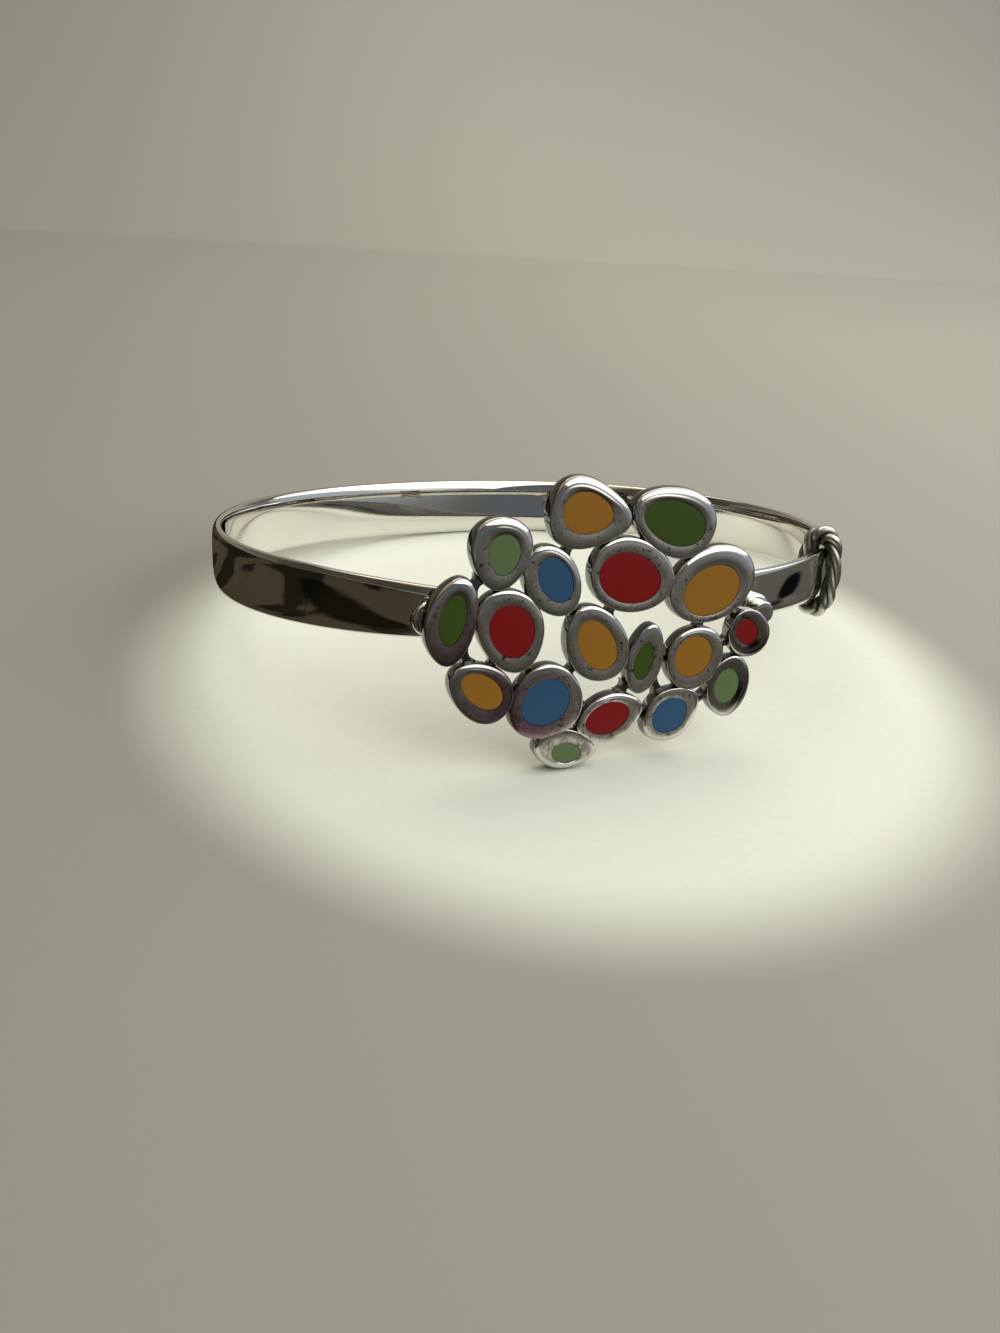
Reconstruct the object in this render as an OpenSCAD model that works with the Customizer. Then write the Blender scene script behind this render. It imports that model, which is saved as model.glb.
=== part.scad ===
// Oval silver bangle with a front plaque of enamelled pebble cups.
// The bangle is drawn upright in its own plane and then tipped as it rests on a table:
// on the lowest cup in front and on the lower edge of the band behind.

/* [Band] */
// mean radius of the band's outer face
band_radius = 29.5; // [26:0.1:34]
// what the oval adds to that radius sideways and takes from it front to back
band_oval = 3.4; // [0:0.1:6]
// turn of the oval's long axis against the plaque, degrees
band_turn = 7.7; // [-20:0.1:20]
// height of the band at the back
band_height_back = 6.5; // [4:0.1:9]
// height of the band at its two ends
band_height_end = 4.5; // [3:0.1:7]
// thickness of the band at the back
band_thick_back = 1.5; // [1.0:0.05:3]
// thickness of the band at its two ends
band_thick_end = 0.9; // [0.7:0.05:2]
// where the left end stops, degrees round from the middle of the back
band_left_end = -139.5; // [-160:0.5:-120]
// where the right end stops, degrees round from the middle of the back
band_right_end = 166; // [140:0.5:170]
// how much the upper edge drops to the left end
left_end_drop = 0.7; // [0:0.05:1.5]
// how far in front of the middle the ends run flat behind the plaque
band_flat_y = 24.0; // [20:0.1:28]

/* [Plaque] */
// distance of the plaque's face in front of the middle of the band
plaque_face_y = 26.5; // [24:0.1:32]
// shift of the plaque's middle to the right
plaque_x = -3.1; // [-10:0.1:10]
// depth of a cup from its back to its face
cup_depth = 1.6; // [0.8:0.1:3]
// depth of the enamel in a cup
enamel_depth = 0.6; // [0.3:0.05:1]
// gap left round each enamel filling and each pin
seat_gap = 0.03; // [0.01:0.01:0.1]
// how far the rounded rim of a cup reaches in before its flat face starts
rim_round = 0.28; // [0.1:0.02:0.5]

/* [Posts] */
// sideways place of the left post
left_post_x = -18.5; // [-24:0.1:-12]
// height of the left post above the band's middle
left_post_z = -0.5; // [-2:0.1:2]
// sideways place of the right post
right_post_x = 11.9; // [6:0.1:18]
// height of the right post above the band's middle
right_post_z = -1.2; // [-2:0.1:2]
// radius of the round boss on the band
boss_radius = 1.45; // [1:0.05:2]
// radius of the round lug on the back of the plaque
lug_radius = 1.05; // [0.8:0.05:1.4]
// radius of the pin that sits in boss and lug
pin_radius = 0.6; // [0.4:0.05:0.8]

/* [Rope collar] */
// where the collar sits, degrees round from the middle of the back
collar_at = 131; // [90:1:150]
// radius of the twisted rope over its strands
rope_radius = 0.82; // [0.4:0.02:1.2]
// depth of the groove between two strands
rope_groove = 0.16; // [0.05:0.01:0.4]
// grooves that cross the rope's outer line in one way round the band
rope_grooves = 9; // [1:1:12]
// room above and below the band inside the collar
collar_room = 0.6; // [0.4:0.05:1.5]
// how far the collar hangs below the middle of the band
collar_drop = 0.05; // [0:0.05:0.3]

/* [Resting pose] */
// how far the front is lifted by the lowest cup, degrees
rest_tip = 11.6; // [0:0.1:20]
// lean to the side, degrees
rest_lean = 0.85; // [-5:0.05:5]
// height of the band's middle above the table
rest_lift = 8.38; // [4:0.01:15]
// shift that brings the middle of the whole bangle over the origin, sideways
rest_shift_x = 0; // [-3:0.01:3]
// shift that brings the middle of the whole bangle over the origin, front to back
rest_shift_y = 1.27; // [-3:0.01:3]

/* [Hidden] */

// The cups, one row each, measured from the plaque's middle:
// x and z of the middle, length, width, tilt of the length in degrees,
// egg (how much fatter the leading end is), rim at the ends, rim at the sides,
// the enamel's shift in x and z, corner (how far three soft corners stand out, as a share),
// the first corner's direction from the leading end, and pinch (how much the ends narrow)
CUPS = [
    [ -2.9,   8.0, 7.4, 5.6,  -9, -0.20, 1.45, 1.10, -0.25,  0.10, 0.040,   0, 0.00],
    [  4.9,   7.3, 8.1, 5.7, -18,  0.08, 1.00, 1.05, -0.10, -0.10, 0.030,  53, 0.00],
    [-10.3,   5.1, 5.8, 5.1,  85,  0.10, 1.25, 1.20,  0.20, -0.10, 0.030,  60, 0.00],
    [ -5.8,   2.7, 6.3, 4.6, -58,  0.00, 1.10, 0.90,  0.20,  0.10, 0.010,   0, 0.00],
    [  1.2,   2.9, 7.9, 6.2, -18,  0.08, 1.00, 1.00, -0.20, -0.20, 0.045,   3, 0.00],
    [  9.0,   1.8, 8.5, 6.5,  19,  0.08, 1.45, 1.10, -0.05, -0.50, 0.015,   0, 0.00],
    [-14.2,  -0.3, 7.2, 4.3,  78,  0.06, 1.50, 1.05,  0.05,  0.20, 0.040, -22, 0.06],
    [ -9.2,  -1.2, 7.2, 5.6, -66,  0.00, 1.30, 0.90,  0.05, -0.05, 0.035, -19, 0.00],
    [ -1.5,  -2.8, 7.1, 5.4, -57,  0.08, 1.10, 1.10,  0.00, -0.10, 0.020,  30, 0.00],
    [  3.2,  -4.5, 6.2, 3.4,  79,  0.00, 1.40, 0.80, -0.20, -0.10, 0.020,   0, 0.12],
    [  8.0,  -4.7, 5.8, 5.4,  50,  0.06, 1.00, 0.90, -0.20,  0.20, 0.030, -15, 0.00],
    [ 13.3,  -2.8, 4.6, 4.1, -50,  0.00, 1.05, 1.00, -0.30,  0.20, 0.020,  40, 0.00],
    [-11.5,  -6.3, 6.1, 4.7, -38,  0.04, 0.95, 1.05,  0.00,  0.15, 0.030,  68, 0.00],
    [ -5.8,  -7.7, 6.7, 6.5,  31,  0.08, 1.10, 1.25, -0.10,  0.10, 0.015,  60, 0.00],
    [  0.2,  -9.5, 6.3, 4.3,  15,  0.10, 1.05, 0.70, -0.25,  0.00, 0.020,  10, 0.22],
    [  6.2,  -9.7, 5.9, 4.8,  34,  0.00, 1.15, 0.80, -0.20, -0.05, 0.015,   0, 0.25],
    [ 11.8,  -7.6, 5.7, 4.4,  85,  0.05, 1.20, 0.95, -0.30,  0.10, 0.020, -20, 0.08],
    [ -3.8, -12.0, 5.8, 3.6,  -9,  0.00, 1.50, 0.85,  0.10, -0.30, 0.020,   0, 0.20]];

// Pairs of cups that are soldered rim to rim, as row numbers of CUPS
JOINS = [[0, 1], [0, 3], [0, 4], [1, 4], [1, 5], [4, 5], [2, 3], [2, 6], [2, 7], [3, 7],
    [6, 7], [3, 8], [4, 8], [8, 9], [9, 10], [5, 10], [5, 11], [10, 11], [11, 16],
    [10, 16], [6, 12], [7, 12], [7, 13], [12, 13], [8, 13], [13, 14], [13, 17],
    [14, 17], [9, 14], [14, 15], [9, 15], [10, 15], [15, 16]];

cup_sides = 24;
cup_back_y = -plaque_face_y + cup_depth;
enamel_floor_y = -plaque_face_y + enamel_depth;

// place of the band's outer face at angle a, seen from above
function oval_radius(a) = band_radius - band_oval * cos(2 * a);
function flat_front(y) = y > -band_flat_y + 15 ? y
    : -band_flat_y + 0.5 * ln(1 + exp((y + band_flat_y) / 0.5));
function band_point(a) = [oval_radius(a) * sin(a - band_turn),
    flat_front(oval_radius(a) * cos(a - band_turn))];
function unit(v) = v / norm(v);
function band_along(a) = unit(band_point(a + 0.5) - band_point(a - 0.5));
function band_out(a) = [-band_along(a)[1], band_along(a)[0]];

// the taper from the back to the ends
function taper(a, power) = pow(abs(a) / 150, power);
function left_drop(a) = a > -112 ? 0 : left_end_drop * min(1, pow((-112 - a) / 27, 1.5));
function band_height(a) = band_height_back - left_drop(a)
    + (band_height_end - band_height_back) * taper(a, 1.8);
function band_thick(a) = band_thick_back + (band_thick_end - band_thick_back) * taper(a, 1.5);

// the ends are rounded over this length
end_round = 1.6;
function end_distance(a) = min(a - band_left_end, band_right_end - a) * PI / 180 * band_radius;
function end_scale(a) = end_distance(a) >= end_round ? 1
    : max(0.3, sqrt(1 - pow(1 - end_distance(a) / end_round, 2)));

// the section is squarer in front than at the back, from 0 to 1
function squareness(a) = min(1, max(0, (abs(a) - 90) / 30));

// one point of the band's section: a low dome outside and nearly flat inside
section_points = 14;
function power_of(value, power) = sign(value) * pow(abs(value), power);
function section_point(a, k) = let (
        c = cos(360 * k / section_points),
        s = sin(360 * k / section_points),
        half_h = band_height(a) * end_scale(a) / 2,
        half_t = band_thick(a) * (0.6 + 0.4 * end_scale(a)) / 2,
        middle = band_point(a) - band_out(a) * band_thick(a) / 2,
        side = band_out(a) * half_t * power_of(c, c > 0 ? 0.75 - 0.35 * squareness(a) : 0.45),
        up = half_h * power_of(s, 0.62 - 0.2 * squareness(a)) - left_drop(a) / 2)
    [middle[0] + side[0], middle[1] + side[1], up];

// stations along the band, closer together at the rounded ends
band_steps = 68;
end_offsets = [0, 0.25, 0.9, 1.9];
band_stations = concat(
    [for (d = end_offsets) band_left_end + d],
    [for (i = [0 : band_steps]) band_left_end + 3
        + i * (band_right_end - band_left_end - 6) / band_steps],
    [for (i = [3 : -1 : 0]) band_right_end - end_offsets[i]]);

// outline of a cup, grown or shrunk by grow, as points in x and z: an egg with three soft corners
function pebble_outline(x, z, length, width, tilt, egg, corner, corner_at, pinch) = [
    for (k = [0 : cup_sides - 1]) let (
        f = 360 * k / cup_sides,
        out = 1 + corner * cos(3 * (f - corner_at)),
        u = length / 2 * cos(f) * out,
        v = width / 2 * sin(f) * out * (1 + egg * cos(f)) * (1 - pinch * pow(cos(f), 2)))
    [x + u * cos(tilt) - v * sin(tilt), z + u * sin(tilt) + v * cos(tilt)]];
function cup_outline(c, grow) = pebble_outline(plaque_x + c[0], c[1], c[2] + 2 * grow,
    c[3] + 2 * grow, c[4], c[5], c[10], c[11], c[12]);
function enamel_outline(c, grow) = pebble_outline(plaque_x + c[0] + c[8], c[1] + c[9],
    c[2] - 2 * c[6] + 2 * grow, c[3] - 2 * c[7] + 2 * grow, c[4], c[5] / 2, c[10] / 2, c[11], c[12] / 2);
function at_depth(points, y) = [for (p = points) [p[0], y, p[1]]];

// distance from a cup's middle to its rim in a direction
function rim_distance(c, direction) = let (
        a = direction - c[4])
    c[2] * c[3] / 2 / sqrt(pow(c[3] * cos(a), 2) + pow(c[2] * sin(a), 2));

// joins closed rings of equal length into one skin with flat caps
module skin(rings) {
    n = len(rings[0]);
    last = len(rings) - 1;
    polyhedron(
        points = [for (r = rings) for (p = r) p],
        faces = concat(
            [[for (k = [0 : n - 1]) k]],
            [for (r = [0 : last - 1]) for (k = [0 : n - 1])
                [r * n + k, (r + 1) * n + k, (r + 1) * n + (k + 1) % n]],
            [for (r = [0 : last - 1]) for (k = [0 : n - 1])
                [r * n + k, (r + 1) * n + (k + 1) % n, r * n + (k + 1) % n]],
            [[for (k = [n - 1 : -1 : 0]) last * n + k]]));
}

// puts a piece drawn in the bangle's own plane into its resting pose
module resting() {
    translate([rest_shift_x, rest_shift_y, rest_lift])
        rotate([-rest_tip, rest_lean, 0])
            children();
}

// a round piece standing along the plaque's depth, between two depths
module round_bar(x, z, radius, y_back, y_front) {
    translate([x, y_back, z])
        rotate([90, 0, 0])
            cylinder(r = radius, h = y_back - y_front, $fn = 32);
}

// one soldered cup: rounded back edge, upright wall, rounded rim, flat face and recess
module cup(c) {
    skin([
        at_depth(cup_outline(c, -0.15), cup_back_y),
        at_depth(cup_outline(c, 0), cup_back_y - 0.35),
        at_depth(cup_outline(c, 0), -plaque_face_y + 0.25),
        at_depth(cup_outline(c, -rim_round), -plaque_face_y),
        at_depth(enamel_outline(c, 0), -plaque_face_y),
        at_depth(enamel_outline(c, 0), enamel_floor_y)]);
}

// solder between two neighbouring cups, on the line between their middles
module solder(a, b) {
    d = [b[0] - a[0], b[1] - a[1]];
    direction = atan2(d[1], d[0]);
    reach_a = rim_distance(a, direction);
    reach_b = rim_distance(b, direction + 180);
    spare = norm(d) - reach_a - reach_b;
    along = reach_a + spare / 2;
    round_bar(plaque_x + a[0] + along * cos(direction), a[1] + along * sin(direction),
        max(0.5, spare / 2 + 0.3), cup_back_y - 0.15, -plaque_face_y + 0.7);
}

// depths of the two posts: band side, boss face, lug face, plaque side
pin_back_y = -23.9;
boss_face_y = -24.5;
lug_face_y = -24.55;
lug_end_y = -plaque_face_y + enamel_depth + 0.1;
pin_front_y = lug_end_y + 0.3;

// the blind bore that takes a pin, wider than the pin by the seat gap
module pin_bore(x, z) {
    round_bar(x, z, pin_radius + seat_gap, pin_back_y + seat_gap, pin_front_y - seat_gap);
}

module band() {
    color("silver")
        resting()
            difference() {
                union() {
                    skin([for (a = band_stations)
                        [for (k = [0 : section_points - 1]) section_point(a, k)]]);
                    round_bar(left_post_x, left_post_z, boss_radius, -23.4, boss_face_y);
                    round_bar(right_post_x, right_post_z, boss_radius, -23.4, boss_face_y);
                }
                pin_bore(left_post_x, left_post_z);
                pin_bore(right_post_x, right_post_z);
            }
}

module plaque() {
    color("gainsboro")
        resting()
            difference() {
                union() {
                    for (c = CUPS)
                        cup(c);
                    for (j = JOINS)
                        solder(CUPS[j[0]], CUPS[j[1]]);
                    round_bar(left_post_x, left_post_z, lug_radius, lug_face_y, lug_end_y);
                    round_bar(right_post_x, right_post_z, lug_radius, lug_face_y, lug_end_y);
                }
                pin_bore(left_post_x, left_post_z);
                pin_bore(right_post_x, right_post_z);
            }
}

module post_pin(x, z) {
    color("silver")
        resting()
            round_bar(x, z, pin_radius, pin_back_y, pin_front_y);
}

module left_pin() {
    post_pin(left_post_x, left_post_z);
}

module right_pin() {
    post_pin(right_post_x, right_post_z);
}

// the rope: a three-lobed section that turns as it goes round the band
rope_steps = 72;
rope_points = 18;
collar_middle = band_point(collar_at) - band_out(collar_at) * band_thick(collar_at) / 2;
collar_half_out = band_thick(collar_at) / 2 + rope_radius + 0.19;
collar_half_up = band_height(collar_at) / 2 + rope_radius + collar_room;
function loop_point(g) = [collar_half_out * power_of(cos(g), 0.88),
    collar_half_up * power_of(sin(g), 0.88)];
function loop_along(g) = unit(loop_point(g + 1) - loop_point(g - 1));
function rope_section(g) = let (
        p = loop_point(g),
        t = loop_along(g),
        out = [t[1], -t[0]])
    [for (k = [0 : rope_points - 1]) let (
        f = 360 * k / rope_points,
        r = rope_radius - rope_groove / 2 * (1 - cos(3 * f - rope_grooves * g)),
        side = p[0] + out[0] * r * cos(f),
        up = p[1] + out[1] * r * cos(f) - collar_drop,
        middle = collar_middle + band_out(collar_at) * side
            + band_along(collar_at) * r * sin(f))
        [middle[0], middle[1], up]];

// joins rings into a closed loop
module closed_skin(rings) {
    n = len(rings[0]);
    m = len(rings);
    polyhedron(
        points = [for (r = rings) for (p = r) p],
        faces = concat(
            [for (r = [0 : m - 1]) for (k = [0 : n - 1])
                [r * n + k, ((r + 1) % m) * n + k, ((r + 1) % m) * n + (k + 1) % n]],
            [for (r = [0 : m - 1]) for (k = [0 : n - 1])
                [r * n + k, ((r + 1) % m) * n + (k + 1) % n, r * n + (k + 1) % n]]));
}

module rope_collar() {
    color("darkgray")
        resting()
            closed_skin([for (i = [0 : rope_steps - 1]) rope_section(360 * i / rope_steps)]);
}

// the enamel that fills one cup, flush with its face
module enamel(number, tint) {
    color(tint)
        resting()
            translate([0, enamel_floor_y - seat_gap, 0])
                rotate([90, 0, 0])
                    linear_extrude(height = enamel_depth - seat_gap)
                        polygon(enamel_outline(CUPS[number], -seat_gap));
}

module enamel_orange_top() {
    enamel(0, "orange");
}

module enamel_green_top_right() {
    enamel(1, "darkgreen");
}

module enamel_lightgreen_upper_left() {
    enamel(2, "darkseagreen");
}

module enamel_blue_upper() {
    enamel(3, "steelblue");
}

module enamel_red_top() {
    enamel(4, "firebrick");
}

module enamel_orange_right() {
    enamel(5, "orange");
}

module enamel_green_left() {
    enamel(6, "darkgreen");
}

module enamel_red_left() {
    enamel(7, "firebrick");
}

module enamel_orange_centre() {
    enamel(8, "orange");
}

module enamel_green_small() {
    enamel(9, "darkgreen");
}

module enamel_orange_mid_right() {
    enamel(10, "orange");
}

module enamel_red_small() {
    enamel(11, "firebrick");
}

module enamel_orange_lower_left() {
    enamel(12, "orange");
}

module enamel_blue_lower() {
    enamel(13, "steelblue");
}

module enamel_red_lower() {
    enamel(14, "firebrick");
}

module enamel_blue_lower_right() {
    enamel(15, "steelblue");
}

module enamel_lightgreen_right() {
    enamel(16, "darkseagreen");
}

module enamel_lightgreen_bottom() {
    enamel(17, "darkseagreen");
}

band();
plaque();
left_pin();
right_pin();
rope_collar();
enamel_orange_top();
enamel_green_top_right();
enamel_lightgreen_upper_left();
enamel_blue_upper();
enamel_red_top();
enamel_orange_right();
enamel_green_left();
enamel_red_left();
enamel_orange_centre();
enamel_green_small();
enamel_orange_mid_right();
enamel_red_small();
enamel_orange_lower_left();
enamel_blue_lower();
enamel_red_lower();
enamel_blue_lower_right();
enamel_lightgreen_right();
enamel_lightgreen_bottom();
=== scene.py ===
import math
from collections import namedtuple
import bpy
import numpy as np
from mathutils import Matrix


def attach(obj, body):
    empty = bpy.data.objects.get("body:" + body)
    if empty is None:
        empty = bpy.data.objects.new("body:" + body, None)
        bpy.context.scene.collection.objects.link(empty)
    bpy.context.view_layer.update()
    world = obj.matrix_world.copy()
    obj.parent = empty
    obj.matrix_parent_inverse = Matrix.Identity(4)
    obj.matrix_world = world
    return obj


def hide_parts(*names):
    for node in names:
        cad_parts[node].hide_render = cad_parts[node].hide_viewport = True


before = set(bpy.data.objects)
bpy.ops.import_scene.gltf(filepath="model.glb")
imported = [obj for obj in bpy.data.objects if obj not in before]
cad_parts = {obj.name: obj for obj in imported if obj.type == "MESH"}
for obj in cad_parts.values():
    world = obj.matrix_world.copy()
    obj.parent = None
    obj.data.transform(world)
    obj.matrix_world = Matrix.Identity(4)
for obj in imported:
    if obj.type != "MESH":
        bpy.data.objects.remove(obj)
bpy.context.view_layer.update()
scene = bpy.context.scene
print("frame loaded:", len(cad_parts), "nodes")

# Everything below is worked out in millimetres in the bangle's own plane: x to the right, y to the back,
# z up through the hole, with the plaque in front. restingPoints tips it as it rests and turns it to metres.
resting = {"tip": -11.6, "lean": 0.85, "shift": (0.0, 1.27, 8.38)}


# p -> Ry(lean) Rx(tip) p + shift, then millimetres to metres.
def restingPoints(points):
    tip, lean = math.radians(resting["tip"]), math.radians(resting["lean"])
    aboutX = np.array([[1, 0, 0], [0, math.cos(tip), -math.sin(tip)], [0, math.sin(tip), math.cos(tip)]])
    aboutY = np.array([[math.cos(lean), 0, math.sin(lean)], [0, 1, 0], [-math.sin(lean), 0, math.cos(lean)]])
    return (points @ (aboutY @ aboutX).T + np.array(resting["shift"])) * 0.001


# Angles round a full circle, one for each column of a grid.
def circle(columns):
    return np.linspace(0, 2 * math.pi, columns, endpoint=False)[None, :]


# Quads between row i and i+1 and column j and j+1 of a grid, the last joined to the first where it is closed.
def gridFaces(rows, columns, first, closedRows, closedColumns):
    i = np.arange(rows if closedRows else rows - 1)[:, None]
    j = np.arange(columns if closedColumns else columns - 1)[None, :]
    a, b = i * columns + j, i * columns + (j + 1) % columns
    c, d = ((i + 1) % rows) * columns + (j + 1) % columns, ((i + 1) % rows) * columns + j
    return np.stack([a, d, c, b], -1).reshape(-1, 4) + first


# Triangles from one row of a grid to the single point that closes it.
def poleFaces(row, pole, columns, first, atStart):
    j = np.arange(columns)
    ring = row * columns + j + first
    following = row * columns + (j + 1) % columns + first
    other = np.full(columns, pole + first)
    return np.stack([other, ring, following] if atStart else [ring, other, following], -1)


# A smooth mesh as an object of the scene.
def meshObject(name, points, faces, material):
    mesh = bpy.data.meshes.new(name)
    mesh.from_pydata(points.tolist(), [], faces)
    mesh.polygons.foreach_set("use_smooth", np.ones(len(mesh.polygons), bool))
    mesh.materials.append(material)
    made = bpy.data.objects.new(name, mesh)
    scene.collection.objects.link(made)
    return made


# One piece from closed grids. A grid is (points[rows, columns, 3], closedRows), always closed across its
# columns. An open grid gets a pole, the mean of its end row, at both ends. values are attributes by name, a
# number for each grid point.
def makePiece(name, grids, material, values=None, sharpAngle=40):
    allPoints, quads, triangles, first = [], [], [], 0
    allValues = {key: [] for key in values or {}}
    for index, (points, closedRows) in enumerate(grids):
        rows, columns = points.shape[:2]
        flat = points.reshape(-1, 3)
        quads.append(gridFaces(rows, columns, first, closedRows, True))
        ends = [] if closedRows else [0, -1]
        for key, kept in allValues.items():
            given = values[key][index].reshape(-1)
            kept.append(np.append(given, given[ends]))
        if not closedRows:
            flat = np.vstack([flat, points[0].mean(0), points[-1].mean(0)])
            triangles.append(poleFaces(0, rows * columns, columns, first, True))
            triangles.append(poleFaces(rows - 1, rows * columns + 1, columns, first, False))
        allPoints.append(flat)
        first += len(flat)
    faces = np.vstack(quads).tolist() + [face for group in triangles for face in group.tolist()]
    piece = meshObject(name, restingPoints(np.vstack(allPoints)), faces, material)
    for key, kept in allValues.items():
        attribute = piece.data.attributes.new(key, "FLOAT", "POINT")
        attribute.data.foreach_set("value", np.concatenate(kept).astype(np.float32))
    piece.data.set_sharp_from_angle(angle=math.radians(sharpAngle))
    piece.data.update()
    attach(piece, "root")
    return piece


# sRGB hex to linear: c / 12.92 up to 0.04045, and ((c + 0.055) / 1.055)^2.4 over it.
def linear(hexColour):
    channel = np.array([int(hexColour[i:i + 2], 16) for i in (1, 3, 5)]) / 255
    curved = ((channel + 0.055) / 1.055) ** 2.4
    return (*np.where(channel <= 0.04045, channel / 12.92, curved).tolist(), 1.0)


# A node with its settings, and its inputs by name or number; an input given a socket is linked to it.
def addNode(tree, kind, settings, inputs):
    made = tree.nodes.new(kind)
    for name, value in settings.items():
        setattr(made, name, value)
    for name, value in inputs.items():
        if isinstance(value, bpy.types.NodeSocket):
            tree.links.new(value, made.inputs[name])
        else:
            made.inputs[name].default_value = value
    return made


# An empty material, its tree, and the object coordinates in metres.
def startMaterial(name):
    material = bpy.data.materials.new(name)
    material.use_nodes = True
    tree = material.node_tree
    tree.nodes.clear()
    place = addNode(tree, "ShaderNodeTexCoord", {}, {}).outputs["Object"]
    return material, tree, place


# The Principled shader with its inputs, linked to the output.
def finishMaterial(material, tree, inputs):
    shader = addNode(tree, "ShaderNodeBsdfPrincipled", {}, inputs)
    addNode(tree, "ShaderNodeOutputMaterial", {}, {"Surface": shader.outputs[0]})
    return material


# The Scale of a noise that follows a surface is 1000 over the size of its lumps in millimetres. Most of a
# noise's values lie within noiseRange. scratchMm and grainMm are about as fine as a picture can show; real
# scratches and grit are finer.
noiseRange = {"From Min": 0.35, "From Max": 0.65}
colourMix, smoothRange = {"data_type": "RGBA"}, {"interpolation_type": "SMOOTHSTEP"}

polished = {"silver": "#eceae5", "worn": "#dedad4", "roughness": (0.014, 0.04), "handledMm": 4.0,
            "scratchMm": 0.25, "scratchStretch": 0.12, "scratchDepthMm": 0.0012, "scratchStrength": 0.5}


# Sterling silver sheet, rolled and buffed. It mirrors the room, a little softened where it has been handled,
# with hairline scratches that run along the band.
def polishedSilver():
    material, tree, place = startMaterial("polished_sterling_silver")
    handled = addNode(tree, "ShaderNodeTexNoise", {}, {
        "Vector": place, "Scale": 1000 / polished["handledMm"], "Detail": 3.0})
    stretch = addNode(tree, "ShaderNodeMapping", {}, {
        "Vector": place, "Scale": (polished["scratchStretch"], polished["scratchStretch"], 1.0)})
    hairs = addNode(tree, "ShaderNodeTexNoise", {}, {
        "Vector": stretch.outputs[0], "Scale": 1000 / polished["scratchMm"], "Detail": 4.0, "Roughness": 0.7})
    bump = addNode(tree, "ShaderNodeBump", {}, {
        "Height": hairs.outputs[0], "Strength": polished["scratchStrength"],
        "Distance": polished["scratchDepthMm"] / 1000})
    rough = addNode(tree, "ShaderNodeMapRange", {}, {
        "Value": handled.outputs[0], **noiseRange,
        "To Min": polished["roughness"][0], "To Max": polished["roughness"][1]})
    tint = addNode(tree, "ShaderNodeMix", colourMix, {
        0: handled.outputs[0], 6: linear(polished["silver"]), 7: linear(polished["worn"])})
    return finishMaterial(material, tree, {
        "Base Color": tint.outputs[2], "Metallic": 1.0, "Roughness": rough.outputs[0],
        "Normal": bump.outputs[0]})


# dark: the colour that depth mixes in, tarnish and painted shade and, on cushions, a painted dark reflection.
satin = {"rim": "#e6e3de", "clean": "#ccc7c0", "dull": "#8f8982", "dark": "#3a3530", "pit": "#4a443f",
         "purple": "#8a6a78", "rimRoughness": 0.06, "faceRoughness": (0.22, 0.38), "mottleMm": 0.7,
         "mottleRange": (0.36, 0.64), "grainMm": 0.12, "grainShare": 0.35, "pitMm": 0.4,
         "pitRange": (0.6, 0.7), "bumpMm": 0.005, "bumpStrength": (0.15, 0.6)}


# Cast silver cups, rubbed level with the enamel on stone and worn since: a grey satin face with soft mottling
# and small nicks, rims rubbed bright by wear, darker metal down the walls and in the crevices, which is
# tarnish and painted shade, and a purple tarnish on a few cups. The cups carry depth (0 bright, 1 dark:
# tarnish, painted shade and painted dark reflection), stoned (1 on the flat faces) and tarnish as attributes.
def satinSilver():
    material, tree, place = startMaterial("stoned_satin_silver")
    depth, stoned, tarnish = (
        addNode(tree, "ShaderNodeAttribute", {"attribute_name": key}, {}).outputs["Fac"]
        for key in ("depth", "stoned", "tarnish"))
    mottle = addNode(tree, "ShaderNodeTexNoise", {}, {
        "Vector": place, "Scale": 1000 / satin["mottleMm"], "Detail": 5.0, "Roughness": 0.65})
    grain = addNode(tree, "ShaderNodeTexNoise", {}, {
        "Vector": place, "Scale": 1000 / satin["grainMm"], "Detail": 2.0})
    pits = addNode(tree, "ShaderNodeTexNoise", {}, {
        "Vector": place, "Scale": 1000 / satin["pitMm"], "Detail": 2.0})
    spread = addNode(tree, "ShaderNodeMapRange", {}, {
        "Value": mottle.outputs[0], "From Min": satin["mottleRange"][0], "From Max": satin["mottleRange"][1]})
    mottled = addNode(tree, "ShaderNodeMix", colourMix, {
        0: spread.outputs[0], 6: linear(satin["clean"]), 7: linear(satin["dull"])})
    pitted = addNode(tree, "ShaderNodeMapRange", {}, {
        "Value": pits.outputs[0], "From Min": satin["pitRange"][0], "From Max": satin["pitRange"][1]})
    worn = addNode(tree, "ShaderNodeMix", colourMix, {
        0: pitted.outputs[0], 6: mottled.outputs[2], 7: linear(satin["pit"])})
    face = addNode(tree, "ShaderNodeMix", colourMix, {
        0: stoned, 6: linear(satin["rim"]), 7: worn.outputs[2]})
    tarnished = addNode(tree, "ShaderNodeMix", colourMix, {
        0: tarnish, 6: face.outputs[2], 7: linear(satin["purple"])})
    # The walls, crevices and lugs take the dark colour by depth: tarnish and painted shade.
    wall = addNode(tree, "ShaderNodeMix", colourMix, {
        0: depth, 6: tarnished.outputs[2], 7: linear(satin["dark"])})
    faceRough = addNode(tree, "ShaderNodeMapRange", {}, {
        "Value": mottle.outputs[0], **noiseRange,
        "To Min": satin["faceRoughness"][0], "To Max": satin["faceRoughness"][1]})
    rough = addNode(tree, "ShaderNodeMix", {}, {
        0: stoned, 2: satin["rimRoughness"], 3: faceRough.outputs[0]})
    both = addNode(tree, "ShaderNodeMath", {"operation": "MULTIPLY_ADD"}, {
        0: grain.outputs[0], 1: satin["grainShare"], 2: mottle.outputs[0]})
    bumpy = addNode(tree, "ShaderNodeMapRange", {}, {
        "Value": stoned, "To Min": satin["bumpStrength"][0], "To Max": satin["bumpStrength"][1]})
    bump = addNode(tree, "ShaderNodeBump", {}, {
        "Height": both.outputs[0], "Strength": bumpy.outputs[0], "Distance": satin["bumpMm"] / 1000})
    return finishMaterial(material, tree, {
        "Base Color": wall.outputs[2], "Metallic": 1.0, "Roughness": rough.outputs[0],
        "Normal": bump.outputs[0]})


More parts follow.
